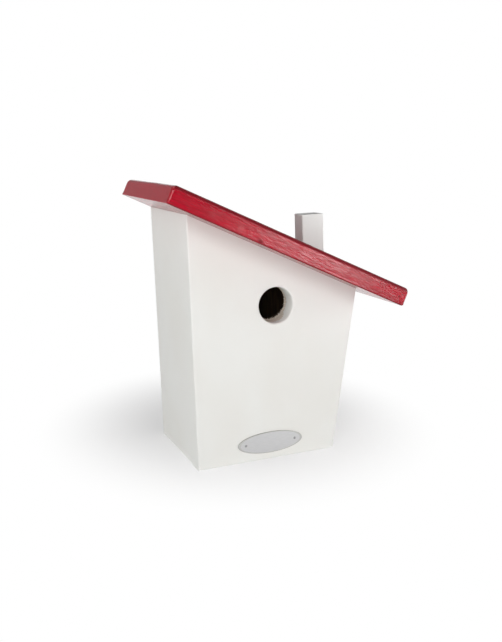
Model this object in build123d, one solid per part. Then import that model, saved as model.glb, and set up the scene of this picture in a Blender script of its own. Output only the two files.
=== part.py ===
from build123d import *
import os
from math import cos, radians, sin, tan

# Nest box of painted softwood boards: an upright left wall, a right wall that leans out, and one
# roof board that slopes down to the right past all but the back, with a small chimney on it.
# The origin is the middle of the base, on the ground. X runs along the front, Y from the front
# to the back and Z up. Sizes are in millimetres and angles in degrees.

# Body
base_width = 130.0
body_depth = 110.0
left_height = 221.5
right_lean = 10.0
wall_thickness = 18.0
panel_thickness = 18.0
arris_round = 1.5

# Floor
floor_thickness = 18.0
floor_clearance = 0.3
drain_diameter = 6.0
drain_inset = 14.0

# Entrance hole
entrance_diameter = 32.0
entrance_height = 138.5
entrance_chamfer = 0.8

# Roof board
roof_slope = 26.0
roof_thickness = 16.0
front_overhang = 36.0
high_end_overhang = 29.2
low_end_overhang = 30.4
roof_top_round = 3.5
roof_high_end_round = 2.0
roof_low_end_round = 3.4
roof_under_arris = 0.6

# Chimney
chimney_width = 21.0
chimney_depth = 17.0
chimney_rise = 35.0
chimney_offset = 62.7
chimney_arris = 0.6

# Oval plate on the front, held by two pins
plate_width = 61.5
plate_height = 19.3
plate_thickness = 1.0
plate_centre_height = 15.75
plate_shift = 1.4
pin_spacing = 47.0
pin_head_radius = 1.2
pin_head_height = 0.6
pin_shank_radius = 0.6
pin_length = 12.0

# Keyhole hanger let into the back
hanger_length = 60.0
hanger_width = 18.0
hanger_thickness = 2.0
hanger_drop = 42.0
hanger_screw_spacing = 44.0
keyhole_radius = 4.5
keyhole_slot_width = 4.5
keyhole_slot_rise = 9.0
pocket_depth = 8.0
pocket_margin = 1.5

# Countersunk wood screws for the boards and for the hanger
board_screw_head_radius = 3.5
board_screw_shank_radius = 1.75
board_screw_length = 35.0
hanger_screw_head_radius = 2.6
hanger_screw_shank_radius = 1.3
hanger_screw_length = 12.0
screw_sides = 16
fastener_clearance = 0.1
roof_screw_inset = 15.0
back_screw_inset = 36.0
floor_screw_inset = 28.0

# Derived places
half_width = base_width / 2
y_front = -body_depth / 2
y_back = body_depth / 2
y_front_inner = y_front + panel_thickness
y_back_inner = y_back - panel_thickness
roof_depth = body_depth + front_overhang
roof_middle = -front_overhang / 2
slope_sine = sin(radians(roof_slope))
slope_cosine = cos(radians(roof_slope))
slope_rise = tan(radians(roof_slope))
lean_run = tan(radians(right_lean))
right_wall_width = wall_thickness / cos(radians(right_lean))
left_inner_foot = -half_width + wall_thickness
right_inner_foot = half_width - right_wall_width
left_centre_foot = -half_width + wall_thickness / 2
right_centre_foot = half_width - right_wall_width / 2

board_screw = (board_screw_head_radius, board_screw_shank_radius, board_screw_length)
hanger_screw = (hanger_screw_head_radius, hanger_screw_shank_radius, hanger_screw_length)

# The roof's underside, from the top of the left wall's outer face, X down the slope and Z square to it
roof_plane = Plane(
    origin=(-half_width, 0, left_height),
    x_dir=(slope_cosine, 0, -slope_sine),
    z_dir=(slope_sine, 0, slope_cosine),
)


def under_roof(foot_x, run):
    """Point where a line that rises from foot_x, moving run to the right per unit up, meets the roof."""
    height = (left_height - (foot_x + half_width) * slope_rise) / (1 + run * slope_rise)
    return (foot_x + run * height, height)


def roof_top(x):
    """Height of the roof's upper face."""
    return left_height - (x + half_width) * slope_rise + roof_thickness / slope_cosine


def panel_centre(height):
    """Middle of the front between the upright and the leaning side."""
    return height * lean_run / 2


def board(outline, front, back):
    """Board with its outline in the XZ plane, from one Y to another."""
    return extrude(Plane.XZ.offset(-front) * Polygon(*outline, align=None), amount=front - back)


def house_board(front, back, shown_end):
    """Front or back board of the house's outline, its arrises eased on the side that shows."""
    outline = [
        (-half_width, 0),
        (half_width, 0),
        under_roof(half_width, lean_run),
        under_roof(-half_width, 0),
    ]
    panel = board(outline, front, back)
    shown = panel.faces().sort_by(Axis.Y)[shown_end]
    free_edges = shown.outer_wire().edges().sort_by(Axis.Z)[:-1]
    return fillet(free_edges, arris_round)


def screw_section(radius):
    """Round section drawn with flat sides that touch the circle, so that a repeated part stays light."""
    return RegularPolygon(radius, screw_sides, major_radius=False)


def screw_solid(kind, clearance=0.0):
    """Countersunk screw along -Z with the top of its head at Z = 0, or its seat with a clearance."""
    head, shank, length = (size + clearance for size in kind)
    countersink = [screw_section(head), Pos(0, 0, shank - head) * screw_section(shank)]
    return loft(countersink, ruled=True) + extrude(screw_section(shank), amount=-length)


def pin_solid():
    """Flat-headed pin along -Z, its head resting on Z = 0."""
    head = Cylinder(pin_head_radius, pin_head_height, align=(Align.CENTER, Align.CENTER, Align.MIN))
    return head + pin_shank(pin_shank_radius)


def pin_shank(radius):
    return Cylinder(radius, pin_length, align=(Align.CENTER, Align.CENTER, Align.MAX))


def cut_seats(piece, kind, places):
    """Cut seats for screws out of a piece, a clearance wider and deeper than the screws."""
    for place in places:
        piece -= place * screw_solid(kind, fastener_clearance)
    return piece


def cut_pin_holes(piece):
    for place in pin_places.values():
        piece -= place * pin_shank(pin_shank_radius + fastener_clearance)
    return piece


def roof_screw_place(foot_x, run, y):
    """Place of a screw square to the roof that runs into the middle of a wall's thickness."""
    depth = (board_screw_length - roof_thickness) / 2
    reach = foot_x + half_width + run * (left_height - depth * slope_cosine) + depth * slope_sine
    station = reach / (slope_cosine + run * slope_sine)
    return roof_plane.location * Pos(station, y, roof_thickness)


def back_place(x, height):
    """Place of a screw driven forwards through the back panel."""
    return Pos(x, y_back, height) * Rot(-90, 0, 0)


def wall_screw_places(side, foot_x, run, height):
    """Places of the screws that hold one side wall: two from the roof and two from the back."""
    roof_y = y_back_inner - roof_screw_inset
    top = height - back_screw_inset
    return {
        f"roof_screw_{side}_front": roof_screw_place(foot_x, run, -roof_y),
        f"roof_screw_{side}_back": roof_screw_place(foot_x, run, roof_y),
        f"back_screw_{side}_top": back_place(foot_x + top * run, top),
        f"back_screw_{side}_bottom": back_place(foot_x + back_screw_inset * run, back_screw_inset),
    }


left_wall_height = left_height
right_wall_height = under_roof(half_width, lean_run)[1]
left_wall_screws = wall_screw_places("left", left_centre_foot, 0, left_wall_height)
right_wall_screws = wall_screw_places("right", right_centre_foot, lean_run, right_wall_height)

floor_middle = floor_thickness / 2
floor_screws = {
    "floor_screw_left": back_place(left_inner_foot + floor_screw_inset, floor_middle),
    "floor_screw_right": back_place(
        right_inner_foot + floor_middle * lean_run - floor_screw_inset, floor_middle
    ),
}
board_screws = {**left_wall_screws, **right_wall_screws, **floor_screws}

hanger_height = under_roof(0, lean_run / 2)[1] - hanger_drop
hanger_x = panel_centre(hanger_height)
hanger_face = Plane(origin=(hanger_x, y_back, hanger_height), x_dir=(0, 0, 1), z_dir=(0, 1, 0))
hanger_screws = {
    "hanger_screw_top": back_place(hanger_x, hanger_height + hanger_screw_spacing / 2),
    "hanger_screw_bottom": back_place(hanger_x, hanger_height - hanger_screw_spacing / 2),
}

plate_x = panel_centre(plate_centre_height) + plate_shift
pin_places = {
    f"plate_pin_{side}": Pos(x, y_front - plate_thickness, plate_centre_height) * Rot(90, 0, 0)
    for side, x in (("left", plate_x - pin_spacing / 2), ("right", plate_x + pin_spacing / 2))
}


def make_front_panel():
    """Front with the entrance hole, its rim eased on the outside."""
    panel = house_board(y_front, y_front_inner, 0)
    middle = Pos(panel_centre(entrance_height), (y_front + y_front_inner) / 2, entrance_height)
    panel -= middle * Rot(90, 0, 0) * Cylinder(entrance_diameter / 2, 2 * panel_thickness)
    rim = panel.faces().sort_by(Axis.Y)[0].inner_wires()[0].edges()
    return cut_pin_holes(chamfer(rim, entrance_chamfer))


def make_back_panel():
    """Back, let in for the hanger, with a pocket behind the keyhole for the head of a screw."""
    panel = house_board(y_back_inner, y_back, -1)
    recess = SlotOverall(hanger_length + 2 * fastener_clearance, hanger_width + 2 * fastener_clearance)
    panel -= extrude(hanger_face * recess, amount=-hanger_thickness)
    pocket_width = 2 * (keyhole_radius + pocket_margin)
    pocket = Pos(keyhole_slot_rise / 2, 0) * SlotCenterToCenter(keyhole_slot_rise, pocket_width)
    panel -= extrude(hanger_face * pocket, amount=-(hanger_thickness + pocket_depth))
    places = [place for name, place in board_screws.items() if not name.startswith("roof")]
    panel = cut_seats(panel, board_screw, places)
    return cut_seats(panel, hanger_screw, hanger_screws.values())


def make_keyhole_hanger():
    """Round-ended plate with a keyhole, its slot above the hole that lets a screw's head through."""
    outline = SlotOverall(hanger_length, hanger_width)
    outline -= Circle(keyhole_radius)
    outline -= Pos(keyhole_slot_rise / 2, 0) * SlotCenterToCenter(keyhole_slot_rise, keyhole_slot_width)
    hanger = extrude(hanger_face * outline, amount=-hanger_thickness)
    return cut_seats(hanger, hanger_screw, hanger_screws.values())


def make_side_wall(foot_x, run, width, screws, outer_end):
    """Side wall between the front and back panels, its top cut to the roof."""
    outline = [
        (foot_x, 0),
        (foot_x + width, 0),
        under_roof(foot_x + width, run),
        under_roof(foot_x, run),
    ]
    wall = board(outline, y_front_inner, y_back_inner)
    base = wall.faces().sort_by(Axis.Z)[0]
    outer_edge = base.edges().filter_by(Axis.Y).sort_by(Axis.X)[outer_end]
    return cut_seats(fillet(outer_edge, arris_round), board_screw, screws.values())


def make_floor_board():
    """Floor level with the foot of the walls, bevelled to the leaning one, with drains near its corners."""
    left = left_inner_foot + floor_clearance
    right = right_inner_foot - floor_clearance
    front = y_front_inner + floor_clearance
    back = y_back_inner - floor_clearance
    bevel = floor_thickness * lean_run
    outline = [(left, 0), (right, 0), (right + bevel, floor_thickness), (left, floor_thickness)]
    floor = board(outline, front, back)
    drains = GridLocations(right - left - 2 * drain_inset, back - front - 2 * drain_inset, 2, 2)
    for drain in drains:
        middle = Pos((left + right) / 2, (front + back) / 2, floor_middle) * drain
        floor -= middle * Cylinder(drain_diameter / 2, 2 * floor_thickness)
    return cut_seats(floor, board_screw, floor_screws.values())


def make_roof_board():
    """Roof board, flush with the back and past the body elsewhere, most rounded on top and at its low end."""
    span = (under_roof(half_width, lean_run)[0] + half_width) / slope_cosine
    length = span + high_end_overhang + low_end_overhang
    roof = Box(length, roof_depth, roof_thickness)
    roof = fillet(roof.edges().filter_by(Axis.Z).sort_by(Axis.X)[:2], roof_high_end_round)
    roof = fillet(roof.edges().filter_by(Axis.Z).sort_by(Axis.X)[-2:], roof_low_end_round)
    roof = fillet(roof.faces().sort_by(Axis.Z)[-1].edges(), roof_top_round)
    roof = chamfer(roof.faces().sort_by(Axis.Z)[0].edges(), roof_under_arris)
    middle = (span + low_end_overhang - high_end_overhang) / 2
    roof = roof_plane.location * Pos(middle, roof_middle, roof_thickness / 2) * roof
    places = [place for name, place in board_screws.items() if name.startswith("roof")]
    return cut_seats(roof, board_screw, places)


def make_chimney():
    """Chimney block with upright sides, its foot cut to the roof and its other arrises eased."""
    left = chimney_offset - chimney_width / 2
    right = chimney_offset + chimney_width / 2
    top = roof_top(chimney_offset) + chimney_rise
    outline = [(left, roof_top(left)), (right, roof_top(right)), (right, top), (left, top)]
    chimney = board(outline, roof_middle - chimney_depth / 2, roof_middle + chimney_depth / 2)
    chimney = chamfer(chimney.edges().filter_by(Axis.Z), chimney_arris)
    return chamfer(chimney.faces().sort_by(Axis.Z)[-1].edges(), chimney_arris)


def make_name_plate():
    """Bare oval plate that lies on the front, pierced for its two pins."""
    face = Plane(origin=(plate_x, y_front, plate_centre_height), x_dir=(1, 0, 0), z_dir=(0, -1, 0))
    return cut_pin_holes(extrude(face * Ellipse(plate_width / 2, plate_height / 2), amount=plate_thickness))


def save(name, piece):
    export_step(piece, f"parts/{name}.step")


os.makedirs("parts", exist_ok=True)
save("front_panel", make_front_panel())
save("back_panel", make_back_panel())
save("left_wall", make_side_wall(-half_width, 0, wall_thickness, left_wall_screws, 0))
save("right_wall", make_side_wall(right_inner_foot, lean_run, right_wall_width, right_wall_screws, -1))
save("floor_board", make_floor_board())
save("roof_board", make_roof_board())
save("chimney", make_chimney())
save("name_plate", make_name_plate())
save("keyhole_hanger", make_keyhole_hanger())
for node, place in pin_places.items():
    save(node, place * pin_solid())
for node, place in board_screws.items():
    save(node, place * screw_solid(board_screw))
for node, place in hanger_screws.items():
    save(node, place * screw_solid(hanger_screw))
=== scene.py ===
# %% [markdown]
# # A nest box in painted softwood
# The box is a small house of white boards with one sloping red roof board, a chimney block, a
# round entrance hole and a bare oval plate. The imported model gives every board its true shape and
# place, so this file adds what a maker's hand, a brush and a drill leave behind: paint over grain,
# raw wood where no paint went, splinters in the hole and real screw heads.

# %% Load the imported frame
from math import cos, pi, radians, sin, tan

import bmesh
import bpy
from mathutils import Matrix, Vector


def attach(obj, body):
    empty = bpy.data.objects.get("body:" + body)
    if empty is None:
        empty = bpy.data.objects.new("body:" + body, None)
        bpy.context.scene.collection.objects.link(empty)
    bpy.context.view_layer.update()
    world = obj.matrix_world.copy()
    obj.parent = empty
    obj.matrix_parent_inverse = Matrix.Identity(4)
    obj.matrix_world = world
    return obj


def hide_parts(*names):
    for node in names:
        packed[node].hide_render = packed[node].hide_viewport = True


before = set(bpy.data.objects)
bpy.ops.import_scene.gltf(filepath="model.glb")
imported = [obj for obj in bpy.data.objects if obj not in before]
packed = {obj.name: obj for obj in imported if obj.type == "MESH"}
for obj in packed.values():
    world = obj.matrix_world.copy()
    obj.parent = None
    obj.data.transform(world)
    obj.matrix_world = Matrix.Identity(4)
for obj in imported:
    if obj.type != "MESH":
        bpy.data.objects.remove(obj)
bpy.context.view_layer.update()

# %% [markdown]
# ## Sizes that the pieces share
# Blender works in metres, so one millimetre is given a name and every size is written with it.
# The roof board lies in its own tilted plane. A matrix for that plane lets a piece be placed by
# its distance down the slope, its distance to the back and its height above the underside. Other
# places could be typed in too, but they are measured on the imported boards, so they can't drift.

# %% Sizes and the plane of the roof
mm = 0.001
half_width = 65 * mm
wall_top = 221.5 * mm
roof_thickness = 16 * mm
roof_slope = radians(26)
wall_lean = radians(10)
upright_plane = Matrix()
roof_plane = Matrix.Translation((-half_width, 0, wall_top)) @ Matrix.Rotation(roof_slope, 4, "Y")


def box_in(node, plane):
    """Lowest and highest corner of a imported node, measured in a plane."""
    back = plane.inverted()
    points = [back @ corner.co for corner in packed[node].data.vertices]
    return [Vector([pick(point[axis] for point in points) for axis in range(3)]) for pick in (min, max)]


roof_low, roof_high = box_in("roof_board", roof_plane)
roof_size = roof_high - roof_low
print("roof board", [round(v / mm, 1) for v in roof_size], "mm")

# %% [markdown]
# ## A short way to write nodes
# Materials and Geometry Nodes are both trees of nodes joined by links. They could be drawn by hand
# in the node editor, but a script can be read and run again. One helper adds a node, sets its
# options and fills its inputs, either with a value or with a link from another node. The others
# name the few nodes that come back everywhere.

# %% Helpers for node trees
def add(tree, kind, inputs=None, **options):
    made = tree.nodes.new(kind)
    for name, value in options.items():
        setattr(made, name, value)
    for name, value in (inputs or {}).items():
        if isinstance(value, bpy.types.NodeSocket):
            tree.links.new(value, made.inputs[name])
        else:
            made.inputs[name].default_value = value
    return made


def result_of(tree, kind, inputs=None, **options):
    """Adds a node and gives its first output."""
    return add(tree, kind, inputs, **options).outputs[0]


def maths(tree, operation, first, second=0.5, clamp=False):
    return result_of(tree, "ShaderNodeMath", {0: first, 1: second}, operation=operation, use_clamp=clamp)


def times(tree, first, second):
    return maths(tree, "MULTIPLY", first, second)


def opposite(tree, share):
    """Is 0 where a share is 1, and 1 where it is 0."""
    return maths(tree, "SUBTRACT", 1.0, share)


def greatest(tree, *values):
    most = values[0]
    for value in values[1:]:
        most = maths(tree, "MAXIMUM", most, value)
    return most


# %% Helpers for vectors, ranges and colours
def vector(tree, operation, first, second=(0, 0, 0), output="Vector"):
    return add(tree, "ShaderNodeVectorMath", {0: first, 1: second}, operation=operation).outputs[output]


def stretched(tree, direction, length):
    return result_of(tree, "ShaderNodeVectorMath", {0: direction, "Scale": length}, operation="SCALE")


def parts_of(tree, place):
    return add(tree, "ShaderNodeSeparateXYZ", {0: place}).outputs


def together(tree, x, y, z):
    return result_of(tree, "ShaderNodeCombineXYZ", {0: x, 1: y, 2: z})


def ramp(tree, value, low, high):
    """Rises smoothly from 0 to 1 while a value goes from low to high."""
    return result_of(tree, "ShaderNodeMapRange", {"Value": value, "From Min": low, "From Max": high},
                     interpolation_type="SMOOTHSTEP")


def scaled(tree, value, low, high, start=0.0, end=1.0):
    """Goes straight from low to high while a value goes from start to end."""
    return result_of(tree, "ShaderNodeMapRange", {
        "Value": value, "From Min": start, "From Max": end, "To Min": low, "To Max": high})


def mix_colour(tree, factor, first, second):
    return add(tree, "ShaderNodeMix", {"Factor": factor, "A": first, "B": second},
               data_type="RGBA").outputs["Result"]


# %% [markdown]
# ## Wood under the paint
# Softwood has streaks that run along the board. They could come from a picture of wood, but a
# picture repeats and blurs up close. A noise texture shows them when its space is stretched, so
# each finish gets the size of its streaks along and across the grain. A Mapping node of the
# Texture kind turns the pattern with the board and divides by those sizes.

# %% Grain in the space of a board
def object_place(tree):
    return add(tree, "ShaderNodeTexCoord").outputs["Object"]


def in_board(tree, turn=(0, 0, 0), place=(0, 0, 0), streak=(1, 1, 1)):
    """Place on a piece, turned with its board and counted in streaks."""
    return result_of(tree, "ShaderNodeMapping", {
        "Vector": object_place(tree), "Location": place, "Rotation": turn, "Scale": streak},
        vector_type="TEXTURE")


def grain(tree, streak, turn=(0, 0, 0), place=(0, 0, 0), detail=4.0, distortion=0.4):
    return result_of(tree, "ShaderNodeTexNoise", {
        "Vector": in_board(tree, turn, place, streak), "Scale": 1.0, "Detail": detail,
        "Distortion": distortion})


# %% Helpers that start and fill a material
def start_material(name, **values):
    material = bpy.data.materials.new(name)
    material.use_nodes = True
    tree = material.node_tree
    shader = tree.nodes["Principled BSDF"]
    for socket, value in values.items():
        shader.inputs[socket].default_value = value
    return material, tree, shader


def set_colour(tree, shader, socket):
    tree.links.new(socket, shader.inputs["Base Color"])


def raise_surface(tree, shader, height, strength, distance):
    bump = result_of(tree, "ShaderNodeBump", {
        "Height": height, "Strength": strength, "Distance": distance})
    tree.links.new(bump, shader.inputs["Normal"])


def finish_node(node, material):
    slots = packed[node].data.materials
    slots.clear()
    slots.append(material)


# %% [markdown]
# ## White paint and the bare inside
# The outside is brushed with matt white paint, and the inside of such a box stays bare. The bare
# wood is coloured nearly black: painted shade for the dark inside of the box, over its own grain.
# Each board could be split and given two materials. One material is simpler here, because the way
# a face looks tells the painted side from the bare one. The chimney's white is lighter than the
# boards': painted light that makes up for the light it gets too little of. Only its foot, which
# nobody sees, is bare.

# %% Colours of paint and wood
paint_white = (0.87, 0.875, 0.845, 1)
paint_shade = (0.845, 0.84, 0.80, 1)
# Lighter copies of the white for the chimney: painted light that makes up for light it lacks
chimney_white_painted_light = (0.96, 0.965, 0.94, 1)
chimney_tone_painted_light = (0.93, 0.935, 0.91, 1)
# Bare wood in colours so dark that they are painted shade for the dark inside of the box
wood_light_painted_shade = (0.08, 0.042, 0.02, 1)
wood_dark_painted_shade = (0.04, 0.02, 0.009, 1)
upright_streak = (1.6 * mm, 1.6 * mm, 30 * mm)
cloud_size = (60 * mm, 60 * mm, 90 * mm)
wood_contrast = (0.35, 0.65)
cloud_contrast = (0.3, 0.75)
paint_roughness = 0.62
paint_bump = {"strength": 0.35, "distance": 0.15 * mm}


# Grain of bare wood, coloured nearly black as painted shade for the inside of the box
def shaded_bare_wood_colour(tree, streak):
    rings = grain(tree, streak, detail=6.0, distortion=1.2)
    return mix_colour(tree, ramp(tree, rings, *wood_contrast), wood_light_painted_shade, wood_dark_painted_shade)


def white_colour(tree, fresh, worn):
    """White coat with faint clouds where the brush left less of it."""
    cloud = grain(tree, cloud_size, detail=2.0)
    return mix_colour(tree, ramp(tree, cloud, *cloud_contrast), fresh, worn)


def faces_along(tree, direction, least=0.9):
    """Is 1 on the faces of a board that look along a direction and 0 on the others."""
    normal = add(tree, "ShaderNodeNewGeometry").outputs["True Normal"]
    return maths(tree, "GREATER_THAN", vector(tree, "DOT_PRODUCT", normal, direction, "Value"), least)


# %% White paint with bare wood on the inner face
def painted_board(name, inward, fresh=paint_white, worn=paint_shade):
    material, tree, shader = start_material(name, Roughness=paint_roughness)
    # The inner faces get the nearly black wood: real bare wood, coloured as painted shade
    bare = shaded_bare_wood_colour(tree, upright_streak)
    inside = faces_along(tree, inward)
    set_colour(tree, shader, mix_colour(tree, inside, white_colour(tree, fresh, worn), bare))
    raise_surface(tree, shader, grain(tree, upright_streak), **paint_bump)
    return material


into_leaning_wall = (-cos(wall_lean), 0, sin(wall_lean))
finish_node("back_panel", painted_board("white_paint_back", (0, -1, 0)))
finish_node("left_wall", painted_board("white_paint_left", (1, 0, 0)))
finish_node("right_wall", painted_board("white_paint_right", into_leaning_wall))
# The chimney gets the lighter white: painted light, the same paint as the boards
finish_node("chimney", painted_board("white_paint_chimney_painted_light", (0, 0, -1), chimney_white_painted_light, chimney_tone_painted_light))
print("white paints", sorted(m.name for m in bpy.data.materials if m.name.startswith("white_paint_")))

# %% [markdown]
# ## Inside the entrance hole
# The hole was drilled before painting and the drill tore the wood where it came out, so the last
# millimetres of the bore are raw and the paint ends in a ragged line. A second piece could line the
# bore, but a mask in the front's own material needs no extra mesh: raw wood shows past a plane near
# the inside, and noise and the low side of the hole move that plane.

# %% Where the paint ends in the bore
hole_height = 138.5 * mm
hole_radius = 16 * mm
hole_centre = Vector((hole_height * tan(wall_lean) / 2, 0, hole_height))
hole_margin = 0.1 * mm
front_inside = box_in("front_panel", upright_plane)[1].y
paint_end = front_inside - 3.5 * mm
raw_start = front_inside - 3 * mm
low_side_zone = (hole_centre.z - 8 * mm, hole_centre.z - 14 * mm)
torn_streak = (1.2 * mm, 2.5 * mm, 1.2 * mm)
torn_reach = 7 * mm
raw_edge = (0.90, 0.82, 0.72, 1)
raw_shade = (0.56, 0.48, 0.41, 1)


def raw_in_bore(tree, torn):
    """Is 1 in the bore past the end of the paint, which comes further out at the bottom."""
    here = object_place(tree)
    across = vector(tree, "MULTIPLY", vector(tree, "SUBTRACT", here, hole_centre), (1, 0, 1))
    radius = vector(tree, "LENGTH", across, output="Value")
    in_bore = maths(tree, "LESS_THAN", radius, hole_radius + hole_margin)
    part = parts_of(tree, here)
    low_side = ramp(tree, part["Z"], *low_side_zone)
    ragged = times(tree, maths(tree, "SUBTRACT", torn, 0.5), torn_reach)
    deep = maths(tree, "ADD", maths(tree, "ADD", part["Y"], ragged), times(tree, low_side, torn_reach))
    return times(tree, ramp(tree, deep, paint_end, raw_start), in_bore)


print("hole at", [round(v / mm, 1) for v in hole_centre], "mm with radius", round(hole_radius / mm, 1))


# %% White front with a ragged raw edge in the bore
def front_material():
    material, tree, shader = start_material("white_paint_front", Roughness=paint_roughness)
    torn = grain(tree, torn_streak, detail=3.0)
    raw = raw_in_bore(tree, torn)
    raw_wood = mix_colour(tree, torn, raw_edge, raw_shade)
    colour = mix_colour(tree, raw, white_colour(tree, paint_white, paint_shade), raw_wood)
    # The inner face gets the nearly black wood: real bare wood, coloured as painted shade
    bare = shaded_bare_wood_colour(tree, upright_streak)
    set_colour(tree, shader, mix_colour(tree, faces_along(tree, (0, 1, 0)), colour, bare))
    height = mix_colour(tree, raw, grain(tree, upright_streak), torn)
    raise_surface(tree, shader, height, **paint_bump)
    return material


finish_node("front_panel", front_material())
print("paint ends", round((front_inside - paint_end) / mm, 1), "mm before the inside of the front")

# %% [markdown]
# ## Bare floor board
# The floor of such a box is left bare, so that it dries from both sides. It could share the bare
# part of the walls' material, but its grain runs from wall to wall, so it gets its own with the
# streak long along X and short across it. Its wood has the walls' nearly black colour, painted
# shade for the dark inside of the box.

# %% Bare floor
floor_streak = (30 * mm, 1.6 * mm, 1.6 * mm)


def shaded_bare_board(name, streak):
    material, tree, shader = start_material(name, Roughness=0.75)
    # Nearly black bare wood all over: painted shade for the dark inside of the box
    set_colour(tree, shader, shaded_bare_wood_colour(tree, streak))
    raise_surface(tree, shader, grain(tree, streak), strength=0.4, distance=0.2 * mm)
    return material


finish_node("floor_board", shaded_bare_board("bare_floor_painted_shade", floor_streak))
print("bare board", packed["floor_board"].data.materials[0].name)

# %% [markdown]
# ## Red roof paint
# The roof is brushed with a semi-gloss red. The paint sinks into the grain, so light runs along
# the board in fine streaks. Each of these could be painted on a picture by hand. Instead the same
# stretched noise drives colour, gloss and bump, so that they agree. A deeper red is painted on the
# upper arris, in a thin line above the lower one, under the board and in three small knocks seen on
# the front of the board: painted shade where less light falls, and in the dents and cracks. The end
# grain, which soaks up more paint, gets a deeper red as well. The arrises, the knocks and the end
# grain also have less gloss.

# %% Colours, streaks and knocks of the roof
roof_red = (0.52, 0.008, 0.026, 1)
roof_red_worn = (0.34, 0.005, 0.016, 1)
# Deeper red: painted shade on the arrises, under the board and in the knocks; deeper coat on the end
# grain
roof_red_shade_and_end_grain = (0.21, 0.003, 0.010, 1)
fine_streak = (9 * mm, 0.6 * mm, 0.6 * mm)
broad_streak = (45 * mm, 4 * mm, 4 * mm)
fine_share, broad_share = 0.65, 0.35
brush_contrast = (0.35, 0.65)
# Bands painted deeper red and duller: painted shade on the upper arris and above the lower one
upper_shade_band = (roof_thickness - 4 * mm, roof_thickness - 2 * mm)
lower_shade_band = (1.3 * mm, 0.7 * mm)
knock_edge = (1.1, 0.6)
# Share of the deeper red under the board (painted shade) and on the end grain (deeper coat)
shade_and_coat_share = 0.45
# Knocks and cracks, painted deeper red as painted shade in the dents, and duller
lower_knock = ((54.5 * mm, roof_low.y, 2.2 * mm), (2.6 * mm, 3 * mm, 1.6 * mm))
end_crack = ((195.3 * mm, roof_low.y, 6.7 * mm), (2.2 * mm, 3 * mm, 0.7 * mm))
small_crack = ((197.5 * mm, roof_low.y, 9.0 * mm), (1.4 * mm, 3 * mm, 0.6 * mm))
down_slope = roof_plane.to_3x3() @ Vector((1, 0, 0))
out_of_top = roof_plane.to_3x3() @ Vector((0, 0, 1))


def knock_mask(tree, flat, middle, reach):
    """Is 1 in a small oval on the front of the roof and fades out at its edge."""
    shares = vector(tree, "DIVIDE", vector(tree, "SUBTRACT", flat, middle), reach)
    return ramp(tree, vector(tree, "LENGTH", shares, output="Value"), *knock_edge)


def roof_shade_and_dullness(tree, flat):
    """Two shares: where the red is deeper, as painted shade or the end grain's deeper coat, and where it
    has lost its gloss.
    """
    height = parts_of(tree, flat)["Z"]
    end_grain = faces_along(tree, -down_slope, least=0.75)
    end_side = faces_along(tree, -down_slope, least=0.5)
    upper = ramp(tree, height, *upper_shade_band)
    lower = times(tree, ramp(tree, height, *lower_shade_band), faces_along(tree, (0, -1, 0), least=0.4))
    # Upper and lower arris bands: painted shade in the colour, and less gloss
    arrises = times(tree, greatest(tree, upper, lower), opposite(tree, end_side))
    knocks = [knock_mask(tree, flat, *knock) for knock in (lower_knock, end_crack, small_crack)]
    worn = greatest(tree, arrises, *knocks)
    # Underside painted deeper as painted shade; end grain deeper as its own coat
    coated = times(tree, greatest(tree, faces_along(tree, -out_of_top), end_grain), shade_and_coat_share)
    return greatest(tree, worn, coated), greatest(tree, worn, end_grain)


# %% Red paint along the slope
fine_contrast = {"start": 0.3, "end": 0.7}
gloss_high, gloss_low, gloss_worn = 0.08, 0.2, 0.5
sheen_full, sheen_worn = 0.58, 0.2


def roof_material():
    material, tree, shader = start_material("red_paint_roof")
    turn, place = (0, roof_slope, 0), tuple(roof_plane.translation)
    fine = grain(tree, fine_streak, turn, place, detail=2.0, distortion=0.0)
    broad = grain(tree, broad_streak, turn, place, detail=3.0)
    blotch = maths(tree, "ADD", times(tree, fine, fine_share), times(tree, broad, broad_share))
    brushed = mix_colour(tree, ramp(tree, blotch, *brush_contrast), roof_red, roof_red_worn)
    deep, dull = roof_shade_and_dullness(tree, in_board(tree, turn, place))
    # The deeper red is painted shade on arrises, underside and knocks, and the end grain's coat
    set_colour(tree, shader, mix_colour(tree, deep, brushed, roof_red_shade_and_end_grain))
    gloss = scaled(tree, fine, gloss_high, gloss_low, **fine_contrast)
    tree.links.new(scaled(tree, dull, gloss, gloss_worn), shader.inputs["Roughness"])
    tree.links.new(scaled(tree, dull, sheen_full, sheen_worn), shader.inputs["Specular IOR Level"])
    raise_surface(tree, shader, fine, strength=1.0, distance=0.2 * mm)
    return material


red_paint = roof_material()
finish_node("roof_board", red_paint)
print("red paint on", packed["roof_board"].name, "with", len(red_paint.node_tree.nodes), "nodes")

# %% [markdown]
# ## Metal finishes
# The plate is rolled aluminium with a satin face and a bevelled rim, whose colour is painted darker
# as painted shade on the bevel. The pins are dull steel, the hanger is zinc plated and the screws are
# stainless. Four separate materials would say the same thing four times, so one recipe makes them
# all: a fully metallic surface whose colour, gloss and bump follow the lines that rolling or plating
# left.

# %% Recipe for a metal surface
# Darker metal for the plate's rim: painted shade on the bevel
rim_metal_painted_shade = (0.50, 0.495, 0.48, 1)
rim_zone = (0.91, 0.95)
line_shade = 0.8
gloss_spread = 0.06
line_strength = 0.3


def plate_rim_shade(tree):
    """Is 1 on the outer ring of the oval plate, where darker metal is painted as painted shade on the
    bevel.
    """
    low, high = box_in("name_plate", upright_plane)
    half = (high - low) / 2
    away = vector(tree, "SUBTRACT", object_place(tree), (low + high) / 2)
    oval = vector(tree, "MULTIPLY", away, (1 / half.x, 0, 1 / half.z))
    return ramp(tree, vector(tree, "LENGTH", oval, output="Value"), *rim_zone)


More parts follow.
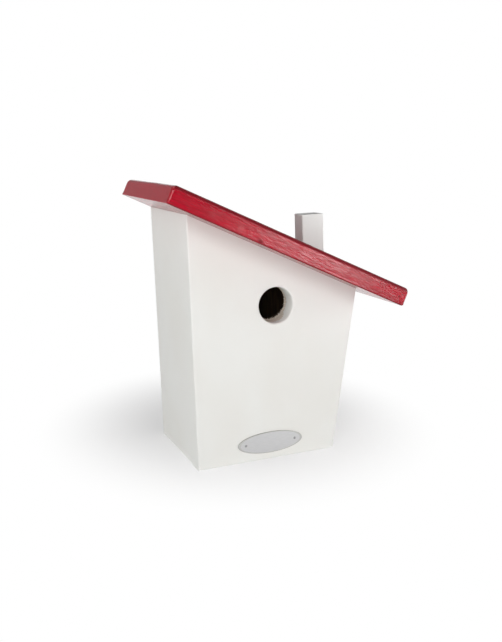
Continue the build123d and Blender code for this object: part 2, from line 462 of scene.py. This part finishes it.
def metal(name, colour, roughness, streak, depth, rim=None):
    material, tree, shader = start_material(name, Metallic=1.0)
    lines = grain(tree, streak, detail=3.0)
    shade = mix_colour(tree, lines, colour, (*(line_shade * part for part in colour[:3]), 1))
    if rim:
        # A darker ring on the rim: painted shade on the bevel
        shade = mix_colour(tree, rim(tree), shade, rim_metal_painted_shade)
    set_colour(tree, shader, shade)
    gloss = scaled(tree, lines, roughness - gloss_spread, roughness + gloss_spread)
    tree.links.new(gloss, shader.inputs["Roughness"])
    raise_surface(tree, shader, lines, line_strength, depth)
    return material


# %% Plate, pins, zinc and stainless steel
def even(size):
    return (size, size, size)


plate_metal = metal("plate_metal", (0.66, 0.66, 0.665, 1), roughness=0.5,
                    streak=(6 * mm, 1 * mm, 0.4 * mm), depth=0.02 * mm, rim=plate_rim_shade)
pin_steel = metal("pin_steel", (0.38, 0.38, 0.38, 1), roughness=0.4,
                  streak=even(0.5 * mm), depth=0.02 * mm)
zinc_steel = metal("zinc_steel", (0.60, 0.62, 0.65, 1), roughness=0.42,
                   streak=(3 * mm, 3 * mm, 5 * mm), depth=0.03 * mm)
screw_steel = metal("screw_steel", (0.62, 0.61, 0.60, 1), roughness=0.3,
                    streak=even(0.6 * mm), depth=0.01 * mm)
print("metal finishes", [m.name for m in (plate_metal, pin_steel, zinc_steel, screw_steel)])


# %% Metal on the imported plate, hanger, pins and screws
def nodes_named(*starts):
    return sorted(name for name in packed if name.startswith(starts))


roof_screws = nodes_named("roof_screw")
back_screws = nodes_named("back_screw", "floor_screw")
hanger_screws = nodes_named("hanger_screw")
pins = nodes_named("plate_pin")
metal_nodes = ((["name_plate"], plate_metal), (["keyhole_hanger"] + hanger_screws, zinc_steel),
               (pins, pin_steel), (roof_screws + back_screws, screw_steel))
for nodes, material in metal_nodes:
    for node in nodes:
        finish_node(node, material)
print("fasteners", len(roof_screws), len(back_screws), len(hanger_screws), len(pins))

# %% [markdown]
# ## Pieces grown by Geometry Nodes
# Screws, pins and splinters repeat, so each kind is one node tree that puts a shape on points,
# where copying a mesh in a loop would hide the rule. The tree has named inputs for its sizes, which
# are set by the socket's identifier. The evaluated result becomes a plain mesh, because an export
# drops instances and modifiers of this kind.

# %% Helpers that start and end a tree
def start_tree(name, sizes):
    tree = bpy.data.node_groups.new(name, "GeometryNodeTree")
    tree.interface.new_socket("Geometry", in_out="INPUT", socket_type="NodeSocketGeometry")
    tree.interface.new_socket("Geometry", in_out="OUTPUT", socket_type="NodeSocketGeometry")
    for label, value in sizes.items():
        kind = "NodeSocketInt" if isinstance(value, int) else "NodeSocketFloat"
        tree.interface.new_socket(label, in_out="INPUT", socket_type=kind)
    return tree, tree.nodes.new("NodeGroupInput").outputs


def end_tree(tree, geometry, material):
    real = result_of(tree, "GeometryNodeRealizeInstances", {"Geometry": geometry})
    coated = result_of(tree, "GeometryNodeSetMaterial", {"Geometry": real, "Material": material})
    add(tree, "NodeGroupOutput", {"Geometry": coated})
    return tree


# %% Helpers that run a tree and keep the piece
sharp_angle = radians(40)


def new_object(name, data):
    """Puts a mesh, a lamp or a camera into the scene."""
    made = bpy.data.objects.new(name, data)
    bpy.context.scene.collection.objects.link(made)
    return made


def keep_piece(piece, replaced):
    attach(piece, "root")
    if replaced:
        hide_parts(*replaced)
    print(piece.name, "faces", len(piece.data.polygons), "stands for", len(replaced), "nodes")


def run_tree(name, tree, sizes, replaced=(), points=None, cutter=None):
    """Grows a piece on points, or from nothing, and cuts it where a cutter is given."""
    piece = new_object(name, points or bpy.data.meshes.new(name + "_start"))
    modifier = piece.modifiers.new(name, "NODES")
    modifier.node_group = tree
    for item in tree.interface.items_tree:
        if item.in_out == "INPUT" and item.name in sizes:
            modifier[item.identifier] = sizes[item.name]
    if cutter:
        cut = piece.modifiers.new("cut", "BOOLEAN")
        cut.operation, cut.object, cut.solver = "DIFFERENCE", cutter, "EXACT"
    graph = bpy.context.evaluated_depsgraph_get()
    result = bpy.data.meshes.new_from_object(piece.evaluated_get(graph), depsgraph=graph)
    piece.modifiers.clear()
    piece.data = result
    result.shade_smooth()
    result.set_sharp_from_angle(angle=sharp_angle)
    keep_piece(piece, replaced)


# %% [markdown]
# ## Blocks with worn arrises
# The roof board and the chimney follow one rule: a block whose arrises were rounded by hand, each
# edge by its own amount. A Bevel modifier would leave every round too even. The tree bends a fine
# grid instead: it crowds the grid towards the arrises, pulls every corner in to its radius and
# sinks the grain a little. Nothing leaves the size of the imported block.

# %% How far each arris is rounded
wave_streak = (14 * mm, 40 * mm, 40 * mm)
wave_depth, wave_least = 0.5, 0.75
top_zone = (0.3, 0.8)
under_zone = (-0.6, -0.95)
middle_zone = (-5 * mm, 5 * mm)
low_end_zone = (0.94, 0.99)
low_end_blend = 0.6


def blend_value(tree, factor, first, second):
    return add(tree, "ShaderNodeMix", {"Factor": factor, "A": first, "B": second},
               data_type="FLOAT").outputs["Result"]


def noise_along(tree, place, streak, detail):
    counted = vector(tree, "DIVIDE", place, streak)
    return result_of(tree, "ShaderNodeTexNoise", {"Vector": counted, "Scale": 1.0, "Detail": detail})


def crowded(tree, part, half, power):
    """Moves a coordinate towards its end, so that more of the grid lies near the arris."""
    share = maths(tree, "DIVIDE", part, half)
    left = maths(tree, "SUBTRACT", 1.0, maths(tree, "ABSOLUTE", share), clamp=True)
    eased = opposite(tree, maths(tree, "POWER", left, power))
    return times(tree, times(tree, eased, maths(tree, "SIGN", share)), half)


def arris_round(tree, given, spread, halves, place):
    """Radius of the nearest arris, a little wavy, and less sharp underneath at the low end."""
    height = maths(tree, "DIVIDE", spread[2], halves[2])
    low_end = ramp(tree, spread[0], *(times(tree, halves[0], share) for share in low_end_zone))
    blunter = opposite(tree, times(tree, low_end, low_end_blend))
    under = times(tree, ramp(tree, height, *under_zone), blunter)
    which_end = ramp(tree, spread[0], *middle_zone)
    ends = blend_value(tree, which_end, given["High End Round"], given["Low End Round"])
    sides = blend_value(tree, ramp(tree, height, *top_zone), ends, given["Top Round"])
    noise = noise_along(tree, place, wave_streak, 2.0)
    wave = maths(tree, "ADD", times(tree, noise, wave_depth), wave_least)
    return times(tree, blend_value(tree, under, sides, given["Under Round"]), wave)


# %% Tree that rounds and grains a block
def rounded_place(tree, half, place, radius, sunk):
    """Pulls a place on the block in to its rounded surface, less the depth of the grain."""
    core = vector(tree, "SUBTRACT", half, together(tree, radius, radius, radius))
    other_core = vector(tree, "MULTIPLY", core, (-1, -1, -1))
    inner = vector(tree, "MAXIMUM", vector(tree, "MINIMUM", place, core), other_core)
    outward = vector(tree, "NORMALIZE", vector(tree, "SUBTRACT", place, inner))
    return vector(tree, "ADD", inner, stretched(tree, outward, maths(tree, "SUBTRACT", radius, sunk)))


def block_tree(name, sizes, crowding, streak, middle, plane, material):
    """crowding: powers for the three axes; streak: size of the grain along them."""
    tree, given = start_tree(name, sizes)
    size = together(tree, given["Length"], given["Depth"], given["Thickness"])
    block = result_of(tree, "GeometryNodeMeshCube", {
        "Size": size, "Vertices X": given["Steps Along"], "Vertices Y": given["Steps Deep"],
        "Vertices Z": given["Steps High"]})
    half = vector(tree, "MULTIPLY", size, (0.5, 0.5, 0.5))
    halves = parts_of(tree, half)
    start = parts_of(tree, result_of(tree, "GeometryNodeInputPosition"))
    spread = [crowded(tree, start[axis], halves[axis], power) for axis, power in enumerate(crowding)]
    place = together(tree, *spread)
    radius = arris_round(tree, given, spread, halves, place)
    sunk = times(tree, noise_along(tree, place, streak, 3.0), given["Relief"])
    shaped = result_of(tree, "GeometryNodeSetPosition", {
        "Geometry": block, "Position": rounded_place(tree, half, place, radius, sunk)})
    centred = result_of(tree, "GeometryNodeTransform", {"Geometry": shaped, "Translation": middle})
    placed = result_of(tree, "GeometryNodeTransform", {
        "Geometry": centred, "Rotation": plane.to_euler(), "Translation": plane.translation})
    return end_tree(tree, placed, material)


# %% [markdown]
# ## Where the fasteners sit
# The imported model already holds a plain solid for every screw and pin. Its own box, measured along
# the direction it was driven, gives the middle of its head, which is safer than typing the places
# a second time. Each place becomes one point that carries the direction out of the board.

# %% Points with a direction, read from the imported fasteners
into_front = Matrix.Rotation(pi / 2, 4, "X")
into_back = Matrix.Rotation(-pi / 2, 4, "X")


def head_place(node, plane):
    low, high = box_in(node, plane)
    return plane @ Vector(((low.x + high.x) / 2, (low.y + high.y) / 2, high.z))


def fastener_points(name, kinds):
    """kinds: pairs of the nodes' names and the plane whose Z leaves the board."""
    places, outward = [], []
    for nodes, plane in kinds:
        for node in nodes:
            places.append(head_place(node, plane))
            outward.extend(plane.to_3x3() @ Vector((0, 0, 1)))
    mesh = bpy.data.meshes.new(name)
    mesh.from_pydata(places, [], [])
    mesh.attributes.new("facing", "FLOAT_VECTOR", "POINT").data.foreach_set("vector", outward)
    print(name, len(places), "points")
    return mesh


board_screw_points = fastener_points("board_screw_points", [
    (roof_screws, roof_plane), (back_screws, into_back)])
hanger_screw_points = fastener_points("hanger_screw_points", [(hanger_screws, into_back)])
pin_points = fastener_points("pin_points", [(pins, into_front)])

# %% [markdown]
# ## Cutters for the roof board and the chimney
# The screws of the roof sit in countersunk seats, and the chimney's foot is sawn to the slope. Both
# could be bent into the grid of the block, but a Boolean with a simple shape cuts them as cleanly
# as the tool did: cones for the seats, and a slab that lies like the roof for the foot.

# %% Cutters for the seats and for the foot of the chimney
seat_radius = 3.6 * mm
seat_depth = 3 * mm
seat_drop = 0.5 * mm
seat_sides = 40
slab_size = (400 * mm, 200 * mm, 30 * mm)


def new_cutter(name, shape):
    mesh = bpy.data.meshes.new(name)
    shape.to_mesh(mesh)
    shape.free()
    return new_object(name, mesh)


def seat_cutter(nodes):
    """Cones of 90 degrees, a little wider than the heads of the screws at the top of the roof."""
    shape = bmesh.new()
    middle_radius = seat_radius - seat_drop
    lean = roof_plane.to_3x3().to_4x4()
    for node in nodes:
        place = Matrix.Translation(head_place(node, roof_plane)) @ lean
        bmesh.ops.create_cone(
            shape, cap_ends=True, segments=seat_sides, depth=seat_depth,
            radius1=middle_radius - seat_depth / 2, radius2=middle_radius + seat_depth / 2,
            matrix=place @ Matrix.Translation((0, 0, -seat_drop)))
    return new_cutter("seat_cutter", shape)


def foot_cutter():
    """Slab whose upper face is the top of the roof."""
    shape = bmesh.new()
    stretch = Matrix.Diagonal((*slab_size, 1))
    lift = Matrix.Translation((0, 0, roof_thickness - slab_size[2] / 2))
    bmesh.ops.create_cube(shape, size=1, matrix=roof_plane @ lift @ stretch)
    return new_cutter("foot_cutter", shape)


seats, foot = seat_cutter(roof_screws), foot_cutter()
print("cutters", seats.name, len(seats.data.polygons), foot.name, len(foot.data.polygons))

# %% [markdown]
# ## The roof board and the chimney
# The roof is one board. Its low end is rounded more than its high end, and its top more than its
# underside. The chimney is a sawn block with small even arrises. Both come from the tree above,
# each with its own sizes, its own crowding and its own direction of grain.

# %% Grow the roof board
roof_sizes = {
    "Length": roof_size.x, "Depth": roof_size.y, "Thickness": roof_size.z,
    "Steps Along": 250, "Steps Deep": 48, "Steps High": 24,
    "Top Round": 4.1 * mm, "Under Round": 0.8 * mm,
    "High End Round": 2.5 * mm, "Low End Round": 3.7 * mm, "Relief": 0.03 * mm}
roof_crowding = (1.1, 1.8, 1.25)
roof_streak = (22 * mm, 1.7 * mm, 1.7 * mm)
roof_tree = block_tree("roof_tree", roof_sizes, roof_crowding, roof_streak,
                       (roof_low + roof_high) / 2, roof_plane, red_paint)
run_tree("roof_board_worn", roof_tree, roof_sizes, ["roof_board"], cutter=seats)

# %% Grow the chimney
chimney_low, chimney_high = box_in("chimney", upright_plane)
chimney_size = chimney_high - chimney_low
chimney_sizes = {
    "Length": chimney_size.x, "Depth": chimney_size.y, "Thickness": chimney_size.z,
    "Steps Along": 26, "Steps Deep": 22, "Steps High": 60,
    "Top Round": 0.9 * mm, "Under Round": 0.7 * mm,
    "High End Round": 0.8 * mm, "Low End Round": 0.8 * mm, "Relief": 0.08 * mm}
chimney_crowding = (1.6, 1.6, 1.2)
chimney_streak = (1.6 * mm, 1.6 * mm, 24 * mm)
chimney_tree = block_tree("chimney_tree", chimney_sizes, chimney_crowding, chimney_streak,
                          (chimney_low + chimney_high) / 2, upright_plane,
                          packed["chimney"].data.materials[0])
run_tree("chimney_worn", chimney_tree, chimney_sizes, ["chimney"], cutter=foot)
for cutter in (seats, foot):
    bpy.data.objects.remove(cutter)
print("chimney", [round(v / mm, 1) for v in chimney_size], "mm")

# %% [markdown]
# ## Soft arrises
# A painted board has no knife edge: it is sanded before the brush, and the paint rounds it further.
# A stamped plate has a bevelled rim. A Bevel modifier would also round the edges between the loose
# triangles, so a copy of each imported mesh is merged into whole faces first, and only its outward
# edges are bevelled by a small width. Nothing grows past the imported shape.

# %% Bevel the boards, the plate and the hanger
weld_reach = 0.001 * mm
flat_angle = radians(1)
edge_angle = radians(30)


def softened(node, width):
    shape = bmesh.new()
    shape.from_mesh(packed[node].data)
    bmesh.ops.remove_doubles(shape, verts=shape.verts, dist=weld_reach)
    bmesh.ops.dissolve_limit(shape, angle_limit=flat_angle, verts=shape.verts, edges=shape.edges)
    outward = [edge for edge in shape.edges
               if edge.is_manifold and edge.calc_face_angle_signed() > edge_angle]
    rounded = bmesh.ops.bevel(shape, geom=outward, offset=width, segments=3, profile=0.5,
                              affect="EDGES", clamp_overlap=True)
    for face in rounded["faces"]:
        face.smooth = True
    mesh = bpy.data.meshes.new(node + "_soft")
    shape.to_mesh(mesh)
    shape.free()
    mesh.materials.append(packed[node].data.materials[0])
    keep_piece(new_object(node + "_soft", mesh), [node])


for node in ("front_panel", "left_wall", "right_wall", "back_panel"):
    softened(node, 0.5 * mm)
softened("floor_board", 0.4 * mm)
softened("name_plate", 0.4 * mm)
softened("keyhole_hanger", 0.25 * mm)

# %% [markdown]
# ## Countersunk screws
# A wood screw has a flat cone for a head, a cross-shaped recess, a core and a thread. A bump map
# could hint at the recess, but it has to show from the side and in the stored mesh. So two blocks
# cut the recess from the cone, and the thread is a spiral with a three-sided section. Every screw
# stops at a random turn, as screws do, from a fixed seed.

# %% Sizes of the screws
board_screw = {"Head Radius": 3.45 * mm, "Shank Radius": 1.7 * mm, "Length": 35 * mm,
               "Pitch": 1.8 * mm, "Turn Seed": 4}
hanger_screw = {"Head Radius": 2.55 * mm, "Shank Radius": 1.25 * mm, "Length": 12 * mm,
                "Pitch": 1.2 * mm, "Turn Seed": 7}
head_sides, core_sides, tooth_sides = 40, 24, 3
steps_per_turn = 14
recess_of_head = {"arm": 1.15, "web": 0.24, "depth": 0.9}
core_of_shank = 0.78
tooth_of_shank = 0.2
core_of_length = 0.9
thread_of_length = 0.62
tip_of_length = 0.97


def cylinder(tree, sides, radius, length):
    return result_of(tree, "GeometryNodeMeshCylinder", {
        "Vertices": sides, "Radius": radius, "Depth": length})


def moved(tree, geometry, down):
    """Shifts a shape down its own axis."""
    shift = together(tree, 0.0, 0.0, times(tree, down, -1.0))
    return result_of(tree, "GeometryNodeTransform", {"Geometry": geometry, "Translation": shift})


def joined(tree, *parts):
    joint = tree.nodes.new("GeometryNodeJoinGeometry")
    for part in parts:
        tree.links.new(part, joint.inputs[0])
    return joint.outputs[0]


# %% Head with a recess, and shank with a thread
def screw_head(tree, head, rise, shank):
    cone = result_of(tree, "GeometryNodeMeshCone", {
        "Vertices": head_sides, "Radius Top": head, "Radius Bottom": shank, "Depth": rise})
    arm, web, deep = (times(tree, head, share) for share in recess_of_head.values())
    cut = add(tree, "GeometryNodeMeshBoolean", {"Mesh 1": moved(tree, cone, rise)},
              operation="DIFFERENCE", solver="EXACT")
    for size in (together(tree, arm, web, deep), together(tree, web, arm, deep)):
        tree.links.new(result_of(tree, "GeometryNodeMeshCube", {"Size": size}), cut.inputs["Mesh 2"])
    return cut.outputs[0]


def screw_shank(tree, length, rise, shank, pitch):
    radius = times(tree, shank, core_of_shank)
    middle = maths(tree, "ADD", times(tree, length, 0.5), rise)
    core = moved(tree, cylinder(tree, core_sides, radius, length), middle)
    core = result_of(tree, "GeometryNodeTransform", {"Geometry": core, "Scale": (1, 1, core_of_length)})
    threaded = times(tree, length, thread_of_length)
    spiral = result_of(tree, "GeometryNodeCurveSpiral", {
        "Resolution": steps_per_turn, "Rotations": maths(tree, "DIVIDE", threaded, pitch),
        "Start Radius": radius, "End Radius": radius, "Height": threaded})
    tooth = result_of(tree, "GeometryNodeCurvePrimitiveCircle", {
        "Resolution": tooth_sides, "Radius": times(tree, shank, tooth_of_shank)})
    thread = result_of(tree, "GeometryNodeCurveToMesh", {
        "Curve": moved(tree, spiral, times(tree, length, tip_of_length)), "Profile Curve": tooth,
        "Fill Caps": True})
    return core, thread


# %% Tree that drives the screws
def upright_on_points(tree):
    """Turn that brings Z to the direction that each point carries."""
    facing = result_of(tree, "GeometryNodeInputNamedAttribute", {"Name": "facing"},
                       data_type="FLOAT_VECTOR")
    return result_of(tree, "FunctionNodeAlignRotationToVector", {"Vector": facing}, axis="Z")


def on_points(tree, points, shape, turn, stretch=(1, 1, 1)):
    return result_of(tree, "GeometryNodeInstanceOnPoints", {
        "Points": points, "Instance": shape, "Rotation": turn, "Scale": stretch})


def screw_tree(name, material):
    tree, given = start_tree(name, board_screw)
    head, shank, length = given["Head Radius"], given["Shank Radius"], given["Length"]
    rise = maths(tree, "SUBTRACT", head, shank)
    screw = joined(tree, screw_head(tree, head, rise, shank),
                   *screw_shank(tree, length, rise, shank, given["Pitch"]))
    spin = result_of(tree, "FunctionNodeRandomValue", {
        "Max": (0, 0, 2 * pi), "Seed": given["Turn Seed"]}, data_type="FLOAT_VECTOR")
    turn = result_of(tree, "FunctionNodeEulerToRotation", {"Euler": spin})
    set_off = result_of(tree, "FunctionNodeRotateRotation", {
        "Rotation": upright_on_points(tree), "Rotate By": turn}, rotation_space="LOCAL")
    return end_tree(tree, on_points(tree, given["Geometry"], screw, set_off), material)


run_tree("board_screws", screw_tree("board_screw_tree", screw_steel), board_screw,
         roof_screws + back_screws, board_screw_points)
run_tree("hanger_screws", screw_tree("hanger_screw_tree", zinc_steel), hanger_screw,
         hanger_screws, hanger_screw_points)

# %% [markdown]
# ## Domed pins of the plate
# Two small pins with low domes hold the plate. A dome could be turned from a drawn profile. Here it
# is half of a flattened ball on a short shank, which needs two sizes only, and the other half stays
# out of sight in the plate.

# %% Tree for domed pins
pin_sizes = {"Head Radius": 1.2 * mm, "Head Height": 0.6 * mm, "Shank Radius": 0.6 * mm,
             "Length": 12 * mm}
dome_sides, dome_rings, pin_sides = 28, 14, 16


def pin_tree(name, material):
    tree, given = start_tree(name, pin_sizes)
    head, height, length = given["Head Radius"], given["Head Height"], given["Length"]
    ball = result_of(tree, "GeometryNodeMeshUVSphere", {
        "Segments": dome_sides, "Rings": dome_rings, "Radius": head})
    squash = together(tree, 1.0, 1.0, maths(tree, "DIVIDE", height, head))
    dome = result_of(tree, "GeometryNodeTransform", {"Geometry": ball, "Scale": squash})
    shank = cylinder(tree, pin_sides, given["Shank Radius"], length)
    shank = moved(tree, shank, times(tree, length, 0.5))
    pin = moved(tree, joined(tree, dome, shank), height)
    return end_tree(tree, on_points(tree, given["Geometry"], pin, upright_on_points(tree)), material)


run_tree("plate_pins", pin_tree("pin_tree", pin_steel), pin_sizes, pins, pin_points)

# %% [markdown]
# ## Splinters in the entrance hole
# The drill pushed fibres out where it left the wood. They are thin pointed slivers that stand on
# the inner end of the bore, the longest at the bottom, and lean towards the middle. Hair could make
# them, but an export drops it. Points on a circle carry small cones instead, and a random length
# and lean keep them from looking combed.

# %% Sizes, lean and length of the splinters
splinter_sizes = {"Hole Radius": hole_radius, "Count": 150, "Longest": 2.6 * mm,
                  "Thickness": 0.35 * mm, "Seed": 11}
ring_steps, sliver_sides = 180, 5
least_lean, most_lean = (-0.5, -0.5, -0.9), (0.5, 0.5, 0.5)
top_share, bottom_share = 0.35, 1.0
least_chance, most_chance = 0.25, 1.0
long_zone = {"start": 8 * mm, "end": -15 * mm}
splinter_end = Vector((hole_centre.x, front_inside - 0.3 * mm, hole_centre.z))


def splinter_way(tree, place, seed):
    """Direction towards the middle of the hole with a random lean."""
    inward = vector(tree, "NORMALIZE", stretched(tree, place, -1.0))
    lean = result_of(tree, "FunctionNodeRandomValue", {
        "Min": least_lean, "Max": most_lean, "Seed": seed}, data_type="FLOAT_VECTOR")
    return vector(tree, "ADD", inward, lean)


def splinter_length(tree, place, seed):
    """Share of the longest splinter: random, and greater towards the bottom of the hole."""
    lower = scaled(tree, parts_of(tree, place)["Y"], top_share, bottom_share, **long_zone)
    chance = add(tree, "FunctionNodeRandomValue", {
        2: least_chance, 3: most_chance, "Seed": maths(tree, "ADD", seed, 1.0)},
        data_type="FLOAT").outputs[1]
    return times(tree, lower, chance)


# %% Tree for the splinters
def splinter_tree(name, material):
    tree, given = start_tree(name, splinter_sizes)
    ring = result_of(tree, "GeometryNodeCurvePrimitiveCircle", {
        "Resolution": ring_steps, "Radius": given["Hole Radius"]})
    dots = result_of(tree, "GeometryNodeCurveToPoints", {
        "Curve": ring, "Count": given["Count"]}, mode="COUNT")
    place = result_of(tree, "GeometryNodeInputPosition")
    turned = result_of(tree, "FunctionNodeAlignRotationToVector", {
        "Vector": splinter_way(tree, place, given["Seed"])}, axis="Z")
    sliver = result_of(tree, "GeometryNodeMeshCone", {
        "Vertices": sliver_sides, "Radius Top": 0.0, "Radius Bottom": given["Thickness"],
        "Depth": given["Longest"]})
    stretch = together(tree, 1.0, 1.0, splinter_length(tree, place, given["Seed"]))
    stand = result_of(tree, "GeometryNodeTransform", {
        "Geometry": on_points(tree, dots, sliver, turned, stretch),
        "Rotation": (pi / 2, 0, 0), "Translation": splinter_end})
    return end_tree(tree, stand, material)


# %% Splinters of raw wood
splinter_wood, tree, shader = start_material("splinter_wood", Roughness=0.8)
set_colour(tree, shader, mix_colour(tree, grain(tree, torn_streak), raw_edge, raw_shade))
run_tree("entrance_splinters", splinter_tree("splinter_tree", splinter_wood), splinter_sizes)

# %% [markdown]
# ## Pale studio floor
# Product photos of white things stand on white paper that fades out. A curved backdrop would do
# the same, but it would also hide the box from some sides. The paper here is a flat matt plane that
# catches the shadow of the box, and it blends into pure white with the distance from the box, so
# that no horizon shows.

# %% Pale floor
shadow_middle = (0.01, 0.06, 0)
shadow_shape = (1, 0.85, 1)
shadow_near, shadow_far = 0.03, 0.2
paper_colour = (0.93, 0.93, 0.93, 1)
pure_white = (1, 1, 1, 1)
paper_reach, paper_front, paper_drop = 8, -0.5, 0.05 * mm
near_glow, far_glow = 0.3, 1.0


def floor_material():
    material = bpy.data.materials.new("pale_floor")
    material.use_nodes = True
    tree = material.node_tree
    tree.nodes.clear()
    away = vector(tree, "SUBTRACT", object_place(tree), shadow_middle)
    distance = vector(tree, "LENGTH", vector(tree, "MULTIPLY", away, shadow_shape), output="Value")
    rays = add(tree, "ShaderNodeLightPath").outputs
    seen = greatest(tree, rays["Is Camera Ray"], rays["Is Glossy Ray"], rays["Is Transmission Ray"])
    far = scaled(tree, ramp(tree, distance, shadow_near, shadow_far), near_glow, far_glow)
    matt = result_of(tree, "ShaderNodeBsdfDiffuse", {"Color": paper_colour})
    glow = result_of(tree, "ShaderNodeEmission", {"Color": pure_white, "Strength": 1.0})
    blended = result_of(tree, "ShaderNodeMixShader", {0: times(tree, seen, far), 1: matt, 2: glow})
    add(tree, "ShaderNodeOutputMaterial", {"Surface": blended})
    return material


floor_mesh = bpy.data.meshes.new("studio_floor")
paper_corners = [(-paper_reach, paper_front, -paper_drop), (paper_reach, paper_front, -paper_drop),
                 (paper_reach, paper_reach, -paper_drop), (-paper_reach, paper_reach, -paper_drop)]
floor_mesh.from_pydata(paper_corners, [], [(0, 1, 2, 3)])
floor_mesh.materials.append(floor_material())
new_object("studio_floor", floor_mesh)
print("floor lies", round(floor_mesh.vertices[0].co.z / mm, 2), "mm below the base")

# %% [markdown]
# ## White surroundings
# The photo's background is pure white. A plain white world would also light the box from all sides
# and wash its shades out. So the camera sees white, while the box itself gets only a faint room
# light, a little more of it from behind, and glossy paint mirrors the white behind it.

# %% White surroundings
behind_zone = (-0.35, 0.25)
front_level, back_level = 0.02, 0.16
side_share, overhead_share = 1.0, 0.5
overhead_zone = {"start": 0.1, "end": 0.9}
world = bpy.data.worlds.new("studio_world")
bpy.context.scene.world = world
world.use_nodes = True
tree = world.node_tree
tree.nodes.clear()
rays = add(tree, "ShaderNodeLightPath").outputs
seen = greatest(tree, rays["Is Camera Ray"], rays["Is Transmission Ray"])
toward = parts_of(tree, add(tree, "ShaderNodeTexCoord").outputs["Generated"])
behind = ramp(tree, toward["Y"], *behind_zone)
level = scaled(tree, behind, front_level, back_level)
overhead = scaled(tree, toward["Z"], side_share, overhead_share, **overhead_zone)
mirrored = times(tree, rays["Is Glossy Ray"], behind)
strength = greatest(tree, times(tree, level, overhead), mirrored, seen)
sky = result_of(tree, "ShaderNodeBackground", {"Color": pure_white, "Strength": strength})
add(tree, "ShaderNodeOutputWorld", {"Surface": sky})
print("world nodes", len(tree.nodes))

# %% [markdown]
# ## Soft lamps
# A studio lights white things with softboxes, whose wide faces give soft shadows. A sun or a point
# lamp would draw hard ones. Each box is placed by its azimuth, elevation and distance. A narrow key
# box stands where the middle of the roof's front mirrors it, which makes the sheen there. The
# others fill the front, the walls, the bore, the eave and the top of the chimney. The box behind
# lights the back so low that the floor hardly gets any of it, and gloss doesn't mirror it.

# %% Soft lamps
lamp_aim = Vector((0.01, 0, 0.12))


def softbox(name, azimuth, elevation, distance, width, height, power):
    """Lamp at an azimuth from the front towards the right, as seen from the middle of the box."""
    turn, rise = radians(azimuth), radians(elevation)
    out = Vector((cos(rise) * sin(turn), -cos(rise) * cos(turn), sin(rise)))
    light = bpy.data.lights.new(name, "AREA")
    light.shape = "RECTANGLE"
    light.size, light.size_y, light.energy = width, height, power
    lamp = new_object(name, light)
    lamp.location = lamp_aim + distance * out
    lamp.rotation_euler = (lamp_aim - lamp.location).to_track_quat("-Z", "Y").to_euler()
    return lamp


softbox("key_softbox", 30, 5, 1.6, width=0.26, height=0.6, power=4.9)
softbox("fill_softbox", -35, 18, 1.8, width=1.1, height=1.1, power=16.0)
softbox("left_softbox", -85, 1, 1.6, width=1.2, height=0.6, power=8.0)
softbox("right_softbox", 70, 6, 1.6, width=1.0, height=0.6, power=9.5)
softbox("low_softbox", -26, -12, 1.6, width=1.1, height=0.4, power=5.0)
softbox("top_softbox", 0, 80, 1.7, width=1.2, height=1.2, power=1.0)
back_lamp = softbox("back_softbox", 158, 3, 1.6, width=0.8, height=0.5, power=6.5)
back_lamp.visible_glossy = False

# %% [markdown]
# ## Camera
# The camera could be set by eye until the picture fits. Its place, turn and lens were worked out
# instead from the straight edges in the photo, with the hole as the ruler, so every edge falls
# where the photo has it. It looks slightly down and from the left, as the photographer's did.

# %% Camera
camera_place = (-272.99 * mm, -724.29 * mm, 280.95 * mm)
yaw, pitch, roll = radians(21.337), radians(-12.071), radians(-1.993)
camera_data = bpy.data.cameras.new("studio_camera")
camera_data.lens = 48.028
camera = new_object("studio_camera", camera_data)
camera.matrix_world = (
    Matrix.Translation(camera_place)
    @ Matrix.Rotation(-yaw, 4, "Z")
    @ Matrix.Rotation(pi / 2 + pitch, 4, "X")
    @ Matrix.Rotation(roll, 4, "Z")
)
bpy.context.scene.camera = camera
bpy.context.scene.view_settings.view_transform = "Standard"
print("camera at", [round(v, 3) for v in camera.matrix_world.translation], "lens", camera_data.lens)
